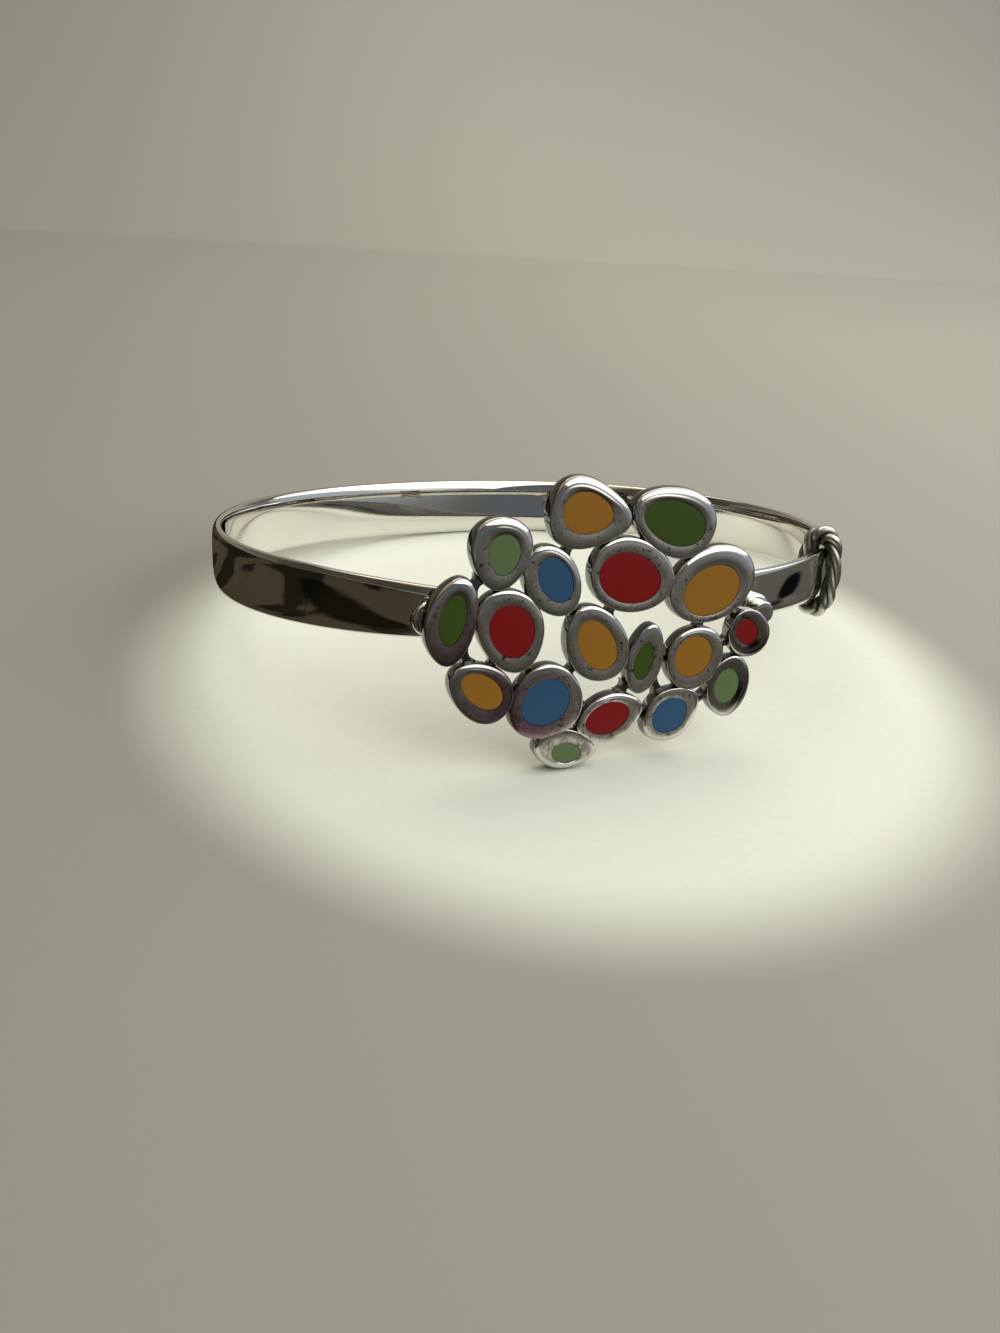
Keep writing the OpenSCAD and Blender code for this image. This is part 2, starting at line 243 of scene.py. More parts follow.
wire = {"bright": "#d6d2cb", "tarnish": "#1f1b18", "roughness": (0.2, 0.55), "patchMm": 1.2, "uneven": 0.5}


# Drawn silver wire, twisted: bright on the crowns of the strands, black with old tarnish in the grooves, and
# darker inside the loop with tarnish and painted shade, all carried as depth. Noise makes the share of dirt
# uneven by a quarter either way.
def twistedSilver():
    material, tree, place = startMaterial("twisted_silver_wire")
    depth = addNode(tree, "ShaderNodeAttribute", {"attribute_name": "depth"}, {})
    patch = addNode(tree, "ShaderNodeTexNoise", {}, {
        "Vector": place, "Scale": 1000 / wire["patchMm"], "Detail": 4.0, "Roughness": 0.6})
    uneven = addNode(tree, "ShaderNodeMath", {"operation": "MULTIPLY_ADD"}, {
        0: patch.outputs[0], 1: wire["uneven"], 2: -wire["uneven"] / 2})
    dirty = addNode(tree, "ShaderNodeMath", {"operation": "ADD", "use_clamp": True}, {
        0: uneven.outputs[0], 1: depth.outputs["Fac"]})
    tint = addNode(tree, "ShaderNodeMix", colourMix, {
        0: dirty.outputs[0], 6: linear(wire["bright"]), 7: linear(wire["tarnish"])})
    rough = addNode(tree, "ShaderNodeMapRange", {}, {
        "Value": dirty.outputs[0], "To Min": wire["roughness"][0], "To Max": wire["roughness"][1]})
    return finishMaterial(material, tree, {
        "Base Color": tint.outputs[2], "Metallic": 1.0, "Roughness": rough.outputs[0]})


enamelColours = {
    "orange": ("#96681e", "#8e621c"), "red": ("#7f0708", "#740607"), "dark_green": ("#394f15", "#344812"),
    "blue": ("#2f5378", "#2a4d70"), "light_green": ("#61764d", "#5a6f47")}
enamelLook = {"roughness": 0.42, "ior": 1.52, "specular": 0.2, "cloudMm": 2.2, "pitMm": 0.3,
              "pitDepthMm": 0.004, "pitStrength": 0.3}


# Opaque glass enamel, laid in wet, fired and stoned flush: an even colour with the faintest clouding
# and a low, soft gloss.
def glassEnamel(name, colours):
    material, tree, place = startMaterial(name + "_glass_enamel")
    cloud = addNode(tree, "ShaderNodeTexNoise", {}, {
        "Vector": place, "Scale": 1000 / enamelLook["cloudMm"], "Detail": 3.0})
    tint = addNode(tree, "ShaderNodeMix", colourMix, {
        0: cloud.outputs[0], 6: linear(colours[0]), 7: linear(colours[1])})
    pits = addNode(tree, "ShaderNodeTexNoise", {}, {
        "Vector": place, "Scale": 1000 / enamelLook["pitMm"], "Detail": 2.0})
    bump = addNode(tree, "ShaderNodeBump", {}, {
        "Height": pits.outputs[0], "Strength": enamelLook["pitStrength"],
        "Distance": enamelLook["pitDepthMm"] / 1000})
    return finishMaterial(material, tree, {
        "Base Color": tint.outputs[2], "Metallic": 0.0, "IOR": enamelLook["ior"],
        "Specular IOR Level": enamelLook["specular"], "Roughness": enamelLook["roughness"],
        "Normal": bump.outputs[0]})


silver, cupSilver, wireSilver = polishedSilver(), satinSilver(), twistedSilver()
enamels = {name: glassEnamel(name, colours) for name, colours in enamelColours.items()}
print("materials made:", 3 + len(enamels))

# Angles in degrees, 0 at the back and positive to the right; heights and thicknesses taper with the angle.
band = {"radius": 29.5, "oval": 3.4, "turn": 7.7, "flatY": 24.0, "bend": 0.5, "leftEnd": -139.5,
        "rightEnd": 166.0, "heightBack": 6.5, "heightEnd": 4.5, "heightPower": 1.8, "thickBack": 1.5,
        "thickEnd": 0.9, "thickPower": 1.5, "taperTo": 150, "leftThinner": 0.25, "leftThinnerFrom": 60,
        "leftThinnerOver": 60, "leftDrop": 0.7, "leftDropFrom": 112, "leftDropOver": 27, "leftDropPower": 1.5,
        "endRound": 1.6, "endSpan": 3.2, "tipHeight": 0.06, "tipThick": 0.3, "stations": 420, "across": 96}

# Exponents of the section: at the back, and how much less they are in front on the upper and lower edge.
section = {"outside": 0.75, "inside": 0.45, "up": 0.62, "outsideLess": (0.45, 0.2), "upLess": (0.3, 0.12),
           "squareFrom": 90, "squareOver": 30}


# Outer face of the band seen from above: an oval R = radius - oval cos 2a, turned, with its front pressed
# flat at flatY by y -> bend log(1 + exp((y + flatY) / bend)) - flatY. Far from the flat that is y itself.
def bandPoint(angle):
    radius = band["radius"] - band["oval"] * np.cos(np.radians(2 * angle))
    x = radius * np.sin(np.radians(angle - band["turn"]))
    y = radius * np.cos(np.radians(angle - band["turn"]))
    before = np.minimum(y + band["flatY"], 60 * band["bend"])  # so that exp stays small
    pressed = -band["flatY"] + band["bend"] * np.log1p(np.exp(before / band["bend"]))
    return np.stack([x, np.where(y + band["flatY"] > 30 * band["bend"], y, pressed)], -1)


# Unit direction along the band, between the points half a degree either way.
def bandAlong(angle):
    step = bandPoint(angle + 0.5) - bandPoint(angle - 0.5)
    return step / np.linalg.norm(step, axis=-1, keepdims=True)


# Unit direction out of the band, square to the direction along it.
def bandOut(angle):
    along = bandAlong(angle)
    return np.stack([-along[..., 1], along[..., 0]], -1)


# How far the upper edge comes down near the left end: leftDrop t^1.5, t from 0 to 1 on the last stretch.
def bandDrop(angle):
    part = np.maximum(0, -band["leftDropFrom"] - angle) / band["leftDropOver"]
    return band["leftDrop"] * np.minimum(1, part ** band["leftDropPower"])


# heightBack + (heightEnd - heightBack) (|a| / taperTo)^1.8, less the drop.
def bandHeight(angle):
    taper = (np.abs(angle) / band["taperTo"]) ** band["heightPower"]
    return band["heightBack"] - bandDrop(angle) + (band["heightEnd"] - band["heightBack"]) * taper


# thickBack + (thickEnd - thickBack) (|a| / taperTo)^1.5, less what is worn off inside the left arm.
def bandThick(angle):
    taper = (np.abs(angle) / band["taperTo"]) ** band["thickPower"]
    part = np.clip((-angle - band["leftThinnerFrom"]) / band["leftThinnerOver"], 0, 1)
    return band["thickBack"] + (band["thickEnd"] - band["thickBack"]) * taper - band["leftThinner"] * part


# |value|^exponent with the value's sign.
def power(value, exponent):
    return np.sign(value) * np.abs(value) ** exponent


# A section that is a low dome outside and nearly flat inside, carried round the oval. The section is
# x = t c^p outside and t c^0.45 inside, z = h s^q, with c and s the cosine and sine round the section. p is
# 0.75 and q 0.62 at the back; in front the upper edge is crisp, 0.3 and 0.32, and the lower one soft, 0.55
# and 0.5. Height and thickness taper to the ends, and the last 1.6 mm is rounded off.
def bandGrid():
    leftEnd, rightEnd, endSpan = band["leftEnd"], band["rightEnd"], band["endSpan"]
    ending = endSpan * np.linspace(0, 1, band["stations"] // 10) ** 2
    middle = np.linspace(leftEnd + endSpan, rightEnd - endSpan, band["stations"])[1:-1]
    angle = np.concatenate([leftEnd + ending, middle, rightEnd - ending[::-1]])
    left = np.radians(np.minimum(angle - leftEnd, rightEnd - angle)) * band["radius"]
    scale = np.maximum(band["tipHeight"], np.sqrt(1 - np.clip(1 - left / band["endRound"], 0, 1) ** 2))
    turn = circle(band["across"])
    c, s = np.cos(turn), np.sin(turn)
    halfHeight = (bandHeight(angle) * scale / 2)[:, None]
    halfThick = (bandThick(angle) * (band["tipThick"] + (1 - band["tipThick"]) * scale) / 2)[:, None]
    square = np.clip((np.abs(angle) - section["squareFrom"]) / section["squareOver"], 0, 1)[:, None]
    outside = section["outside"] - np.where(s > 0, *section["outsideLess"]) * square
    side = halfThick * np.where(c > 0, power(c, outside), power(c, section["inside"]))
    rise = power(s, section["up"] - np.where(s > 0, *section["upLess"]) * square)
    outward = bandOut(angle)
    centre = bandPoint(angle) - outward * bandThick(angle)[:, None] / 2
    plan = centre[:, None, :] + outward[:, None, :] * side[..., None]
    up = halfHeight * rise - bandDrop(angle)[:, None] / 2
    return np.concatenate([plan, up[..., None]], -1)


# A round piece standing along y: each (radius, y) of the profile becomes a ring.
def latheGrid(profile, x, z, columns=64):
    turn = circle(columns)
    radius, y = np.array(profile).T[:, :, None]
    return np.stack([x + radius * np.cos(turn), y + 0 * turn, z + radius * np.sin(turn)], -1)


# left and right are the posts' x and z. A boss ends each arm of the band, and a lug on the plaque meets it.
posts = {"left": (-18.5, -0.5), "right": (11.9, -1.2), "bossRadius": 1.45, "bossEdge": 0.3, "lugRadius": 1.05,
         "lugEdge": 0.15, "bossBackY": -23.4, "bossFaceY": -24.5, "lugFaceY": -24.55, "lugEndY": -25.75,
         "hub": 0.3}


# Half a section of a bar, (radius, y) pairs from back to front, with both edges rounded by edge. Its flat
# ends start at hub times the radius.
def roundedBar(radius, yBack, yFront, edge, steps=6):
    corner = np.linspace(0, math.pi / 2, steps)
    hub = radius * posts["hub"]
    back = np.stack([radius - edge + edge * np.sin(corner), yBack - edge + edge * np.cos(corner)], -1)
    front = np.stack([radius - edge + edge * np.cos(corner), yFront + edge - edge * np.sin(corner)], -1)
    return np.vstack([[[hub, yBack]], back, front, [[hub, yFront]]])


bossBar = roundedBar(posts["bossRadius"], posts["bossBackY"], posts["bossFaceY"], posts["bossEdge"])
bandGrids = [(bandGrid(), False)]
for side in ("left", "right"):
    bandGrids.append((latheGrid(bossBar, *posts[side]), False))
bandPiece = makePiece("polished_band", bandGrids, silver)
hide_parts("band")
print("band made:", len(bandPiece.data.polygons), "faces")

# The wall of a cup stands off its rounded edges by seam and swells by swell sin a, with a in swellAngles.
# wallDark and lugDark darken the cup walls, the solder in the crevices and the lugs: tarnish and painted
# shade.
plaque = {"x": -3.1, "faceY": -26.5, "depth": 1.6, "enamelDepth": 0.6, "dome": 0.03, "backRound": 0.5,
          "seam": 0.1, "swell": 0.03, "swellAngles": (0.6, 2.5), "smallest": 0.02, "wallDark": 0.8,
          "lugDark": 0.2, "columns": 96, "cornerRows": 11, "wallRows": 4, "faceRows": 10}

# Wear of the rims. sharp: their rounding where nothing has worn them. down: how far it goes down the wall,
# at least and for each millimetre in. Past cushionFrom a rim is a cushion. The light comes from litTowards:
# dull is painted shade on the rims turned away from it, and footShade painted shade at the foot of every rim.
# crest, face: how much of a cup's tone shows on a cushion and on the whole face; on the cushion that tone is
# a painted dark reflection.
wear = {"sharp": 0.07, "narrow": 1.5, "down": (0.1, 0.4), "cushionFrom": 0.35, "cushionTo": 0.6,
        "litTowards": 70, "dull": 0.75, "shadeNarrow": 0.7, "shadeLeast": 0.4, "footShade": 0.6,
        "crest": 1.8, "crestFrom": 0.5, "face": 0.8, "faceFrom": 0.3, "toneFull": 0.4,
        "stonedFull": 0.3, "cushionStoned": 0.2}
# Rings down the wall of the recess: grown by, depth, darkness (tarnish and painted shade).
recessRings = ((-0.01, 0.03, 0.3), (-0.02, 0.12, 0.8), (-0.02, plaque["enamelDepth"], 1.0))

# x, z: middle. length, width, tilt, egg: outline. rimEnd, rimSide, shiftX, shiftZ: metal round the enamel and
# its shift. corner, cornerAt: three soft corners and where the first lies. pinch: of the ends. reach,
# wornTowards: how far in the rim is worn at most, and on which side. tone: how dark it is there.
cupShape = namedtuple("cupShape", [
    "x", "z", "length", "width", "tilt", "egg", "rimEnd", "rimSide", "shiftX", "shiftZ", "corner", "cornerAt",
    "pinch", "reach", "wornTowards", "tone"])
cupRows = {
    "orange_top": (-2.9, 8.0, 7.4, 5.6, -9, -0.2, 1.45, 1.1, -0.25, 0.1, 0.04, 0, 0, 0.72, 70, 0.6),
    "green_top_right": (4.9, 7.3, 8.1, 5.7, -18, 0.08, 1, 1.05, -0.1, -0.1, 0.03, 53, 0, 0.68, 70, 0.6),
    "lightgreen_upper_left": (
        -10.3, 5.1, 5.8, 5.1, 85, 0.1, 1.25, 1.2, 0.2, -0.1, 0.03, 60, 0, 0.66, 80, 0.5),
    "blue_upper": (-5.8, 2.7, 6.3, 4.6, -58, 0, 1.1, 0.9, 0.2, 0.1, 0.01, 0, 0, 0.4, 70, 0.3),
    "red_top": (1.2, 2.9, 7.9, 6.2, -18, 0.08, 1, 1, -0.2, -0.2, 0.045, 3, 0, 0.32, 70, 0.3),
    "orange_right": (9.0, 1.8, 8.5, 6.5, 19, 0.08, 1.45, 1.1, -0.05, -0.5, 0.015, 0, 0, 0.72, 65, 0.35),
    "green_left": (-14.2, -0.3, 7.2, 4.3, 78, 0.06, 1.5, 1.05, 0.05, 0.2, 0.04, -22, 0.06, 0.6, 75, 0.5),
    "red_left": (-9.2, -1.2, 7.2, 5.6, -66, 0, 1.3, 0.9, 0.05, -0.05, 0.035, -19, 0, 0.36, 70, 0.3),
    "orange_centre": (-1.5, -2.8, 7.1, 5.4, -57, 0.08, 1.1, 1.1, 0, -0.1, 0.02, 30, 0, 0.4, 75, 0.3),
    "green_small": (3.2, -4.5, 6.2, 3.4, 79, 0, 1.4, 0.8, -0.2, -0.1, 0.02, 0, 0.12, 0.32, 75, 0.3),
    "orange_mid_right": (8.0, -4.7, 5.8, 5.4, 50, 0.06, 1, 0.9, -0.2, 0.2, 0.03, -15, 0, 0.34, 60, 0.3),
    "red_small": (13.3, -2.8, 4.6, 4.1, -50, 0, 1.05, 1, -0.3, 0.2, 0.02, 40, 0, 0.62, -60, 1),
    "orange_lower_left": (-11.5, -6.3, 6.1, 4.7, -38, 0.04, 0.95, 1.05, 0, 0.15, 0.03, 68, 0, 0.4, 70, 0.6),
    "blue_lower": (-5.8, -7.7, 6.7, 6.5, 31, 0.08, 1.1, 1.25, -0.1, 0.1, 0.015, 60, 0, 0.34, 70, 0.3),
    "red_lower": (0.2, -9.5, 6.3, 4.3, 15, 0.1, 1.05, 0.7, -0.25, 0, 0.02, 10, 0.22, 0.34, 70, 0.3),
    "blue_lower_right": (6.2, -9.7, 5.9, 4.8, 34, 0, 1.15, 0.8, -0.2, -0.05, 0.015, 0, 0.25, 0.4, -50, 0),
    "lightgreen_right": (11.8, -7.6, 5.7, 4.4, 85, 0.05, 1.2, 0.95, -0.3, 0.1, 0.02, -20, 0.08, 0.6, -25, 1),
    "lightgreen_bottom": (-3.8, -12.0, 5.8, 3.6, -9, 0, 1.5, 0.85, 0.1, -0.3, 0.02, 0, 0.2, 0.5, -80, 0)}
cups = {name: cupShape(*row) for name, row in cupRows.items()}
# The first word of a cup's name gives its enamel.
tints = {"orange": "orange", "green": "dark_green", "lightgreen": "light_green", "blue": "blue", "red": "red"}
# Cups that have tarnished purple: towards which side, and how much there.
tarnishedCups = {"green_left": (-70, 0.8), "orange_lower_left": (-25, 0.95), "blue_lower": (-140, 0.95)}

# Millimetres. sunk: below the faces. into: over each wall. half, flare: half the length in the middle of the
# crevice and what it gains at the walls. short: of the plaque's back.
solder = {"sunk": 0.5, "into": 0.35, "half": 0.35, "flare": 0.5, "short": 0.15, "edge": 0.25, "square": 0.8,
          "columns": 40}
# Neighbours that are soldered rim to rim.
solderJoins = """
orange_top green_top_right, orange_top blue_upper, orange_top red_top, green_top_right red_top,
green_top_right orange_right, red_top orange_right, lightgreen_upper_left blue_upper,
lightgreen_upper_left green_left, lightgreen_upper_left red_left, blue_upper red_left, green_left red_left,
blue_upper orange_centre, red_top orange_centre, orange_centre green_small, green_small orange_mid_right,
orange_right orange_mid_right, orange_right red_small, orange_mid_right red_small,
red_small lightgreen_right, orange_mid_right lightgreen_right, green_left orange_lower_left,
red_left orange_lower_left, red_left blue_lower, orange_lower_left blue_lower, orange_centre blue_lower,
blue_lower red_lower, blue_lower lightgreen_bottom, red_lower lightgreen_bottom, green_small red_lower,
red_lower blue_lower_right, green_small blue_lower_right, orange_mid_right blue_lower_right,
blue_lower_right lightgreen_right"""


# Rings of a cup, from columns of numbers. share 0 is the outer outline grown by grow, share 1 the enamel's
# outline grown by grow.
# With t = 1 + corner cos 3(f - direction), an outline is u = t length/2 cos f and
# v = t width/2 sin f (1 + egg cos f)(1 - pinch cos^2 f), turned by tilt. Round the enamel corner, egg and
# pinch are half as strong.
def eggRings(cup, shares, grow, y):
    turn, smallest = circle(plaque["columns"]), plaque["smallest"]
    halfLength = np.maximum(cup.length / 2 - cup.rimEnd * shares + grow, smallest)
    halfWidth = np.maximum(cup.width / 2 - cup.rimSide * shares + grow, smallest * cup.width / cup.length)
    less = 1 - shares / 2
    out = 1 + cup.corner * less * np.cos(3 * (turn - math.radians(cup.cornerAt)))
    u = halfLength * np.cos(turn) * out
    v = halfWidth * np.sin(turn) * out
    v = v * (1 + cup.egg * less * np.cos(turn)) * (1 - cup.pinch * less * np.cos(turn) ** 2)
    c, s = math.cos(math.radians(cup.tilt)), math.sin(math.radians(cup.tilt))
    return np.stack([plaque["x"] + cup.x + cup.shiftX * shares + u * c - v * s, y + 0 * turn,
                     cup.z + cup.shiftZ * shares + u * s + v * c], -1)


# 1 on the side of a cup that faces a direction in degrees, 0 on the far side: 1/2 + 1/2 cos(round - towards).
def facing(cup, towardsSide):
    around = circle(plaque["columns"]) + math.radians(cup.tilt - towardsSide)
    return 0.5 + 0.5 * np.cos(around)


# A cup from the middle of its back to the middle of the recess: quarter round at the back, upright wall, rim
# rounded over soft along the face and down along the wall, a face with a low dome, and the recess. The rim is
# worn most one way: soft = sharp + (reach - sharp) worn, with worn = facing^1.5. Its darkness goes with the
# cosine and sine of the angle over the rounding, from the wall to the face.
def cupGrid(cup):
    face, back, backRound = plaque["faceY"], plaque["faceY"] + plaque["depth"], plaque["backRound"]
    worn = facing(cup, cup.wornTowards) ** wear["narrow"]
    soft = wear["sharp"] + (cup.reach - wear["sharp"]) * worn
    down = wear["down"][0] + wear["down"][1] * soft
    cushioned = np.clip((soft - wear["cushionFrom"]) / (wear["cushionTo"] - wear["cushionFrom"]), 0, 1)
    # dull is painted shade: the rims turned away from the light come out darker.
    dull = wear["dull"] * (1 - facing(cup, wear["litTowards"])) ** wear["shadeNarrow"] * (1 - worn)
    quarter = np.linspace(0, math.pi / 2, plaque["cornerRows"])[:, None]
    upright = np.linspace(0, 1, plaque["wallRows"])[:, None]
    rows = np.linspace(0, 1, plaque["faceRows"])[1:, None]
    wallBack, wallFront = back - backRound - plaque["seam"], face + down + plaque["seam"]
    swell = plaque["swell"] * np.sin(np.linspace(*plaque["swellAngles"], plaque["wallRows"]))[:, None]
    shadeShare = wear["shadeLeast"] + (1 - wear["shadeLeast"]) * np.cos(quarter)
    # crest and tone darken a cushioned rim towards the enamel, a painted dark reflection; a cup whose tone
    # passes faceFrom also gets a darker face all over.
    crest = wear["crest"] * max(0, cup.tone - wear["crestFrom"]) * cushioned * np.sin(quarter)
    rimDark = np.maximum(wear["footShade"] * np.cos(quarter) ** 2, dull * shadeShare) + crest
    faceDark = np.maximum(cup.tone * cushioned * np.clip(rows / wear["toneFull"], 0, 1),
                          wear["face"] * max(0, cup.tone - wear["faceFrom"]))
    faceStoned = np.clip(rows / wear["stonedFull"], 0, 1) * (1 - (1 - wear["cushionStoned"]) * cushioned)
    recessGrow, recessDepth, recessDark = np.array(recessRings).T[:, :, None]
    parts = [  # share, grow, y, darkness, how flat it was stoned
        (0 * quarter, backRound * (np.sin(quarter) - 1), back + backRound * (np.cos(quarter) - 1),
         plaque["wallDark"], 0),
        (0 * upright, swell, wallBack + (wallFront - wallBack) * upright, plaque["wallDark"], 0),
        (0 * quarter, soft * (np.cos(quarter) - 1), face + down * (1 - np.sin(quarter)), rimDark, 0),
        (rows, -soft * (1 - rows), face - plaque["dome"] * np.sin(rows * math.pi), faceDark, faceStoned),
        (1 + 0 * recessGrow, recessGrow, face + recessDepth, recessDark, 0)]
    shape = [(len(part[0]), plaque["columns"]) for part in parts]
    share, grow, y, dark, stoned = (
        np.vstack([np.broadcast_to(part[i], size) for part, size in zip(parts, shape)]) for i in range(5))
    return eggRings(cup, share, grow, y), dark, stoned


# Distance from a cup's middle to its rim in a direction, a b / sqrt(b^2 cos^2 + a^2 sin^2) on an ellipse.
def rimReach(cup, direction):
    angle = math.radians(direction - cup.tilt)
    return cup.length * cup.width / 2 / math.hypot(cup.width * math.cos(angle), cup.length * math.sin(angle))


# A fillet of solder between two rims, down in the crevice. Its section spans the gap and a little of both
# walls, and its free sides are hollow: across = a X, along the crevice = (b + e X^2) Z, with X and Z on a
# rounded square.
def solderGrid(first, second):
    dx, dz = second.x - first.x, second.z - first.z
    direction = math.atan2(dz, dx)
    reach = rimReach(first, math.degrees(direction))
    spare = math.hypot(dx, dz) - reach - rimReach(second, math.degrees(direction) + 180)
    turn = circle(solder["columns"])
    square = np.maximum(np.abs(np.cos(turn)), np.abs(np.sin(turn))) ** solder["square"]
    bar = roundedBar(1.0, plaque["faceY"] + plaque["depth"] - solder["short"],
                     plaque["faceY"] + solder["sunk"], solder["edge"])
    size, y = bar.T[:, :, None]
    x, z = size * np.cos(turn) / square, size * np.sin(turn) / square
    across = reach + spare / 2 + (max(0.0, spare / 2) + solder["into"]) * x
    along = (solder["half"] + solder["flare"] * x ** 2) * z
    c, s = math.cos(direction), math.sin(direction)
    return np.stack([plaque["x"] + first.x + across * c - along * s, y + 0 * x,
                     first.z + across * s + along * c], -1)


plaqueGrids, plaqueValues = [], {"depth": [], "stoned": [], "tarnish": []}


# Keeps a grid of the plaque with its values, each one number for the whole grid or an array over it.
def addToPlaque(grid, **values):
    plaqueGrids.append((grid, False))
    for key, value in values.items():
        plaqueValues[key].append(np.broadcast_to(value, grid.shape[:2]))


for name, cup in cups.items():
    tarnishTowards, tarnishAmount = tarnishedCups.get(name, (0, 0))
    grid, dark, stoned = cupGrid(cup)
    addToPlaque(grid, depth=dark, stoned=stoned, tarnish=tarnishAmount * facing(cup, tarnishTowards))
for pair in solderJoins.split(","):
    first, second = pair.split()
    addToPlaque(solderGrid(cups[first], cups[second]), depth=plaque["wallDark"], stoned=0, tarnish=0)
lugBar = roundedBar(posts["lugRadius"], posts["lugFaceY"], posts["lugEndY"], posts["lugEdge"])
for side in ("left", "right"):
    addToPlaque(latheGrid(lugBar, *posts[side]), depth=plaque["lugDark"], stoned=0, tarnish=0)
plaquePiece = makePiece("pebble_cups", plaqueGrids, cupSilver, plaqueValues)
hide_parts("plaque")
print("plaque made:", len(cups), "cups,", len(plaquePiece.data.polygons), "faces")

# Millimetres, but back is the share of the way in at which the flat back starts.
filling = {"fit": 0.02, "sunk": 0.04, "edge": 0.05, "chamfer": 0.02, "crown": 0.02, "middle": 0.1,
           "back": 0.9, "edgeRows": 5, "faceRows": 10}


# The filling: the recess outline less the fit, a chamfer behind, a small rounded edge, and a face sunk a hair
# under the rim that rises to its middle by crown (1 - way^2), with way 1 at the edge.
def enamelGrid(cup):
    fit, edge = filling["fit"], filling["edge"]
    floor, top = plaque["faceY"] + plaque["enamelDepth"] - fit, plaque["faceY"] + filling["sunk"]
    way = np.linspace(1, 0.05, filling["faceRows"])[1:]
    quarter = np.linspace(0, math.pi / 2, filling["edgeRows"])
    inner = min(cup.length / 2 - cup.rimEnd, cup.width / 2 - cup.rimSide)
    grow = np.concatenate([
        [-filling["back"] * inner, -fit - filling["chamfer"]],
        -fit - edge * (1 - np.cos(quarter)),
        -fit - edge - (inner - filling["middle"]) * (1 - way)])
    y = np.concatenate([
        [floor, floor - filling["chamfer"]],
        top + edge * (1 - np.sin(quarter)),
        top - filling["crown"] * (1 - way ** 2)])
    return eggRings(cup, np.ones((len(y), 1)), grow[:, None], y[:, None])


for name, cup in cups.items():
    colour = tints[name.split("_")[0]]
    piece = makePiece("filling_" + name, [(enamelGrid(cup), False)], enamels[colour])
    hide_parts("enamel_" + name)
print("enamel made:", len(cups), "fillings")

# at: where on the band, degrees. room: over and under the band, gap: beside it. The dark values darken the
# inside of the loop and its side towards the plaque: tarnish and painted shade.
rope = {"at": 131.0, "radius": 0.82, "room": 0.6, "gap": 0.08, "drop": 0.05, "square": 0.88, "strands": 3,
        "passes": 9, "grooveShare": 0.6, "fatter": 0.26, "rings": 480, "across": 60, "darkAll": 0.3,
        "darkInside": 0.9, "darkToPlaque": 0.4, "darkMost": 0.9, "groovePower": 0.8}


# Three touching round strands twisted round a loop. The loop is a squarish ellipse round the band's section,
# x = a cos^0.88 g, z = b sin^0.88 g. The section is the outline of three circles of radius r set out by d:
# R(f) = d cos f + sqrt(r^2 - d^2 sin^2 f), for f within 60 degrees of a strand, with its grooves drawn and
# hammered to a share of that depth. It turns passes/strands times on the way round. Over and under the band
# the rope is fatter towards the band, by fatter sin^4 g.
def ropeGrid():
    at = np.array([rope["at"]])
    out, along = bandOut(at)[0], bandAlong(at)[0]
    middle = bandPoint(at)[0] - out * bandThick(at)[0] / 2
    g, f = circle(rope["rings"]).T, circle(rope["across"])
    radius, square, fatter = rope["radius"], rope["square"], rope["fatter"] * np.sin(g) ** 4
    halfOut = bandThick(at)[0] / 2 + radius + rope["gap"]
    halfUp = bandHeight(at)[0] / 2 + radius + rope["room"] - radius * fatter
    loop = np.concatenate([halfOut * power(np.cos(g), square), halfUp * power(np.sin(g), square)], 1)
    slope = np.roll(loop, -1, 0) - np.roll(loop, 1, 0)
    slope = slope / np.linalg.norm(slope, axis=1, keepdims=True)
    strand = radius / (1 + 1 / math.sin(math.pi / rope["strands"]))
    offset = radius - strand
    step = 2 * math.pi / rope["strands"]
    phase = f - rope["passes"] / rope["strands"] * g
    near = (phase + step / 2) % step - step / 2
    outline = offset * np.cos(near) + np.sqrt(np.maximum(0, strand ** 2 - (offset * np.sin(near)) ** 2))
    reach = radius - rope["grooveShare"] * (radius - outline)
    thick = reach * (1 + fatter)
    sideways = loop[:, :1] + slope[:, 1:] * thick * np.cos(f)
    up = loop[:, 1:] - slope[:, :1] * thick * np.cos(f) - rope["drop"]
    length = thick * np.sin(f)
    plan = middle + out * sideways[..., None] + along * length[..., None]
    groove = (radius - reach) / rope["grooveShare"] / (radius - offset * math.cos(step / 2))
    # inner darkens the inside of the loop and its side towards the plaque: tarnish and painted shade.
    inner = rope["darkAll"] - rope["darkInside"] * np.cos(f) + rope["darkToPlaque"] * np.sin(f) + 0 * g
    dark = np.maximum(groove ** rope["groovePower"], np.clip(inner, 0, rope["darkMost"]))
    points = np.concatenate([plan, up[..., None]], -1)
    return points[:, ::-1], np.clip(dark, 0, 1)[:, ::-1]  # reversed, so that the faces look outwards


ropePoints, ropeDark = ropeGrid()
ropePiece = makePiece("twisted_collar", [(ropePoints, True)], wireSilver,
                      {"depth": [ropeDark]}, sharpAngle=50)
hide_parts("rope_collar")
print("collar made:", len(ropePiece.data.polygons), "faces")

for name in ("left_pin", "right_pin"):
    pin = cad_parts[name]
    pin.data.materials.clear()
    pin.data.materials.append(silver)
print("pins dressed")

# Metres. The paper is pale within litPoolRadius of the middle and grey past litPoolFadeRadius, a painted pool
# of light, and its grey darkens leftwards from sideShadeTo to sideShadeFrom, a painted falloff of the light
# from the right.
# The surround stands over the floor by lift.
stage = {"pale": "#eceee2", "paleGrain": "#e4e6da", "shadedGrey": "#97958c", "litGrey": "#aeaca3",
         "sideShadeFrom": -0.08, "sideShadeTo": 0.16, "middle": (0.002, -0.008, 0.0), "litPoolRadius": 0.034,
         "litPoolFadeRadius": 0.046, "grainMm": 0.8, "roughness": 0.9, "reach": 2.0, "wallAt": 0.25, "sweep": 0.30,
         "wallTop": 1.5, "surround": 1.7, "surroundTop": 2.5, "surroundTone": "#bab8ad", "lift": 0.0002,
         "curveRows": 24, "columns": 96}


